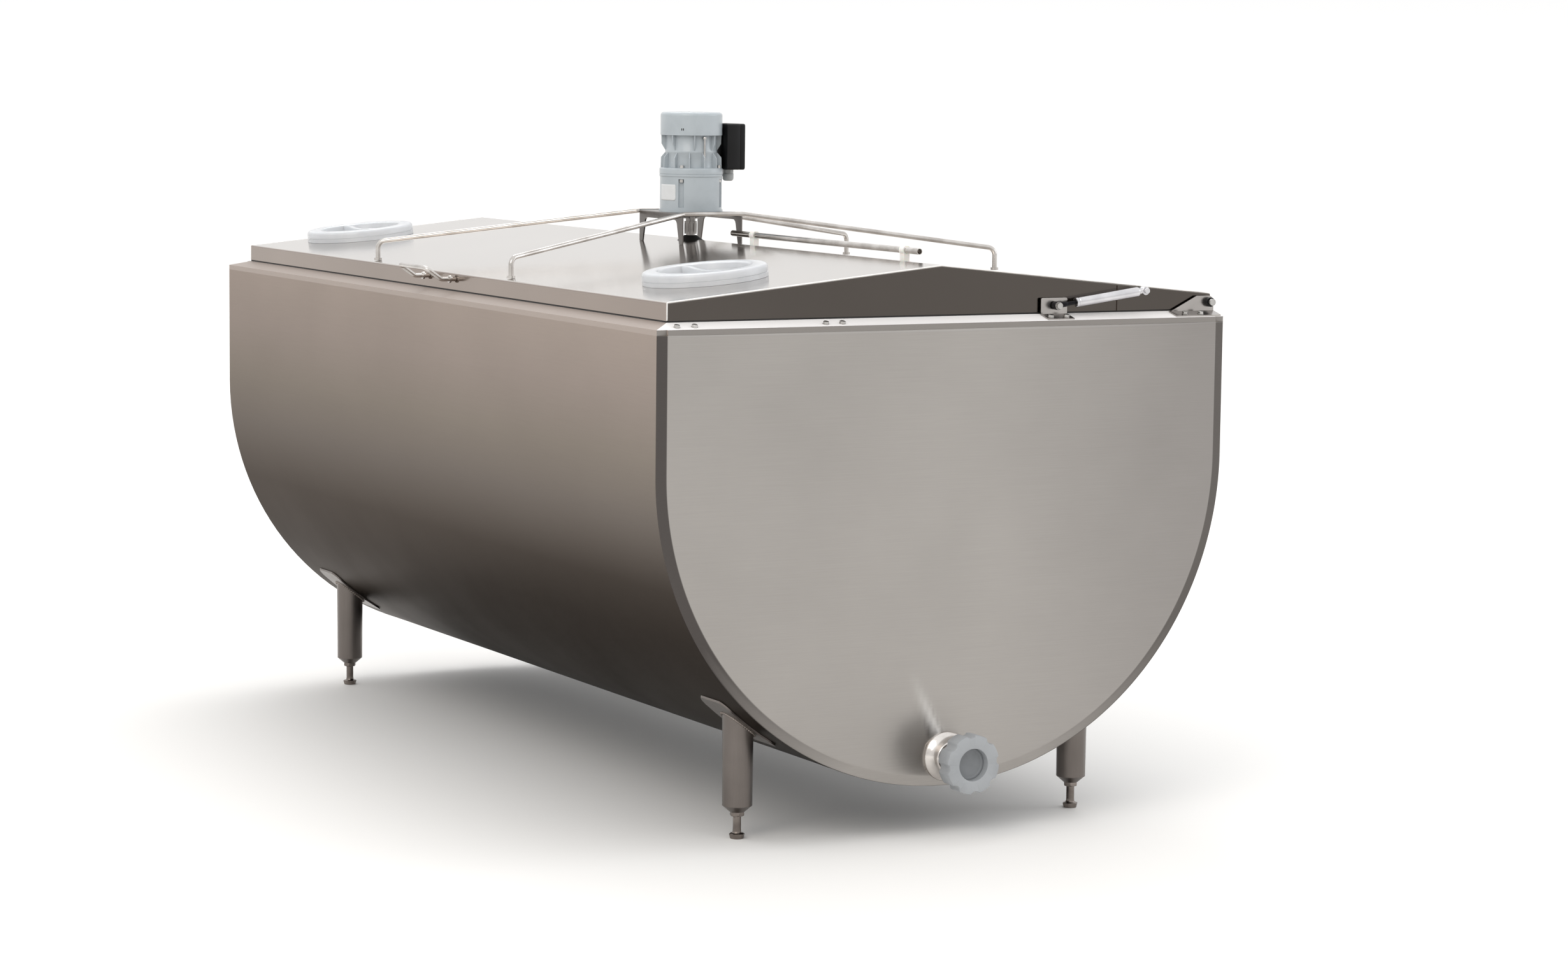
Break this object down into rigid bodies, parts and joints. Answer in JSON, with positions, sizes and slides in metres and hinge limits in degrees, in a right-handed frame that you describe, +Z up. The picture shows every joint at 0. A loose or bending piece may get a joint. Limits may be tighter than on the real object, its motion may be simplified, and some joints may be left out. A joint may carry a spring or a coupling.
{
  "type": "bulk milk cooler",
  "caption": "Insulated U-shaped steel milk tank on levelling feet, with a gabled lid that swings up on gas struts, inlet covers, a threaded outlet and an agitator driven by a gearmotor.",
  "frame": {"origin": "middle of the footprint, on the floor under the feet", "axes": "+Y from the outlet end to the pipe end, +X towards the lid hinges, +Z up"},
  "size_m": [1.2254, 2.389, 1.32],
  "materials": {
    "stainless_body": "brushed stainless steel sheet",
    "stainless_lid": "bright brushed stainless steel sheet",
    "stainless_bar": "polished stainless bar",
    "stainless_vessel": "cold-rolled stainless steel inside the tank",
    "bracket_steel": "bent and bolted steel sheet",
    "bolt_steel": "bright zinc",
    "foam": "rigid polyurethane foam",
    "seal_rubber": "black rubber",
    "black_plastic": "moulded black plastic",
    "copper_pipe": "drawn copper tube",
    "white_plastic": "milky moulded plastic",
    "clip_plastic": "white moulded plastic",
    "nut_plastic": "grey moulded plastic",
    "blank_plastic": "dark moulded plastic",
    "motor_paint": "light grey machine enamel",
    "strut_chrome": "bright plated tube",
    "strut_rod_black": "black nitrided rod",
    "shaft_steel": "turned stainless steel",
    "gland_plastic": "grey moulded plastic"
  },
  "bodies": {
    "tank": {"outer_shell": "stainless_body", "front_panel": "stainless_body", "rear_panel": "stainless_body", "rim_frame": "stainless_body", "rim_gasket": "seal_rubber", "inner_vessel": "stainless_vessel", "insulation_foam": "foam", "evaporator_plate": "stainless_vessel", "suction_pipe": "copper_pipe", "liquid_pipe": "copper_pipe", "pipe_grommets": "seal_rubber", "thermometer_pocket": "stainless_vessel", "leg_pads": "stainless_body", "legs": "stainless_body", "foot_lock_nuts": "bolt_steel", "outlet_pipe": "stainless_vessel", "outlet_collar": "stainless_body", "hinge_bracket_front": "bracket_steel", "hinge_bracket_rear": "bracket_steel", "strut_bracket_front": "bracket_steel", "strut_bracket_rear": "bracket_steel", "hinge_bushes": "black_plastic", "shoulder_bolts": "bolt_steel"},
    "lid": {"lid_skin": "stainless_lid", "lid_pan": "stainless_vessel", "lid_foam": "foam", "hinge_doublers": "stainless_lid", "hinge_pins": "bolt_steel", "strut_studs": "bolt_steel", "inlet_necks": "stainless_vessel", "bridge": "bracket_steel", "stay_rod_front": "stainless_bar", "stay_rod_rear": "stainless_bar", "lid_handle": "stainless_bar", "gear_housing": "motor_paint", "motor_body": "motor_paint", "fan_cover": "motor_paint", "terminal_box": "black_plastic", "terminal_box_lid": "black_plastic", "cable_gland": "gland_plastic", "bearing_cap": "shaft_steel", "shaft_seal": "seal_rubber", "dipstick_clips": "clip_plastic"},
    "agitator": {"output_shaft": "shaft_steel", "shaft_coupling": "shaft_steel", "agitator_shaft": "shaft_steel", "agitator_paddle": "shaft_steel"},
    "cover_front": {"inlet_cover_front": "white_plastic"},
    "cover_rear": {"inlet_cover_rear": "white_plastic"},
    "dipstick": {"dipstick": "stainless_bar"},
    "strut_rod_front": {"strut_rod_front": "strut_rod_black"},
    "strut_rod_rear": {"strut_rod_rear": "strut_rod_black"},
    "strut_cylinder_front": {"strut_cylinder_front": "strut_chrome"},
    "strut_cylinder_rear": {"strut_cylinder_rear": "strut_chrome"},
    "outlet_blank": {"outlet_blank": "blank_plastic"},
    "outlet_nut": {"outlet_nut": "nut_plastic"},
    "foot_fl": {"foot_fl": "bolt_steel"},
    "foot_fr": {"foot_fr": "bolt_steel"},
    "foot_rl": {"foot_rl": "bolt_steel"},
    "foot_rr": {"foot_rr": "bolt_steel"}
  },
  "joints": [
    {"name": "lid_hinge", "type": "hinge", "parent": "tank", "child": "lid", "pos_m": [0.59675, 0.0145, 0.98], "axis": [0, 1, 0], "range_deg": [0, 50]},
    {"name": "agitator_spin", "type": "hinge", "parent": "lid", "child": "agitator", "pos_m": [0.01275, -0.0135, 1.08], "axis": [0, 0, 1], "continuous": true},
    {"name": "cover_front_lift", "type": "slide", "parent": "lid", "child": "cover_front", "axis": [-0.1028, 0, 0.9947], "range_m": [0, 0.15]},
    {"name": "cover_rear_lift", "type": "slide", "parent": "lid", "child": "cover_rear", "axis": [-0.1028, 0, 0.9947], "range_m": [0, 0.15]},
    {"name": "dipstick_slide", "type": "slide", "parent": "lid", "child": "dipstick", "axis": [0, -1, 0], "range_m": [0, 0.6]},
    {"name": "strut_pivot_front", "type": "hinge", "parent": "tank", "child": "strut_rod_front", "pos_m": [0.25275, -1.0655, 0.98], "axis": [0, 1, 0], "range_deg": [-19.5, 0]},
    {"name": "strut_slide_front", "type": "slide", "parent": "strut_rod_front", "child": "strut_cylinder_front", "axis": [0.9921, 0, 0.1253], "range_m": [0, 0.102]},
    {"name": "strut_pivot_rear", "type": "hinge", "parent": "tank", "child": "strut_rod_rear", "pos_m": [0.25275, 1.0945, 0.98], "axis": [0, 1, 0], "range_deg": [-19.5, 0]},
    {"name": "strut_slide_rear", "type": "slide", "parent": "strut_rod_rear", "child": "strut_cylinder_rear", "axis": [0.9921, 0, 0.1253], "range_m": [0, 0.102]},
    {"name": "outlet_slide", "type": "slide", "parent": "tank", "child": "outlet_blank", "axis": [0, -1, 0], "range_m": [0, 0.021]},
    {"name": "nut_spin", "type": "hinge", "parent": "outlet_blank", "child": "outlet_nut", "pos_m": [0.01275, -1.1755, 0.15], "axis": [0, -1, 0], "range_deg": [0, 1780]},
    {"name": "foot_fl_extend", "type": "slide", "parent": "tank", "child": "foot_fl", "axis": [0, 0, -1], "range_m": [0, 0.03]},
    {"name": "foot_fr_extend", "type": "slide", "parent": "tank", "child": "foot_fr", "axis": [0, 0, -1], "range_m": [0, 0.03]},
    {"name": "foot_rl_extend", "type": "slide", "parent": "tank", "child": "foot_rl", "axis": [0, 0, -1], "range_m": [0, 0.03]},
    {"name": "foot_rr_extend", "type": "slide", "parent": "tank", "child": "foot_rr", "axis": [0, 0, -1], "range_m": [0, 0.03]}
  ],
  "couplings": [
    {"joint": "strut_pivot_front", "follows": "lid_hinge", "ratio": -0.37864},
    {"joint": "strut_slide_front", "follows": "lid_hinge", "m_per_rad": 0.11589},
    {"joint": "strut_pivot_rear", "follows": "lid_hinge", "ratio": -0.37864},
    {"joint": "strut_slide_rear", "follows": "lid_hinge", "m_per_rad": 0.11589},
    {"joint": "outlet_slide", "follows": "nut_spin", "m_per_rad": 0.00067323}
  ]
}
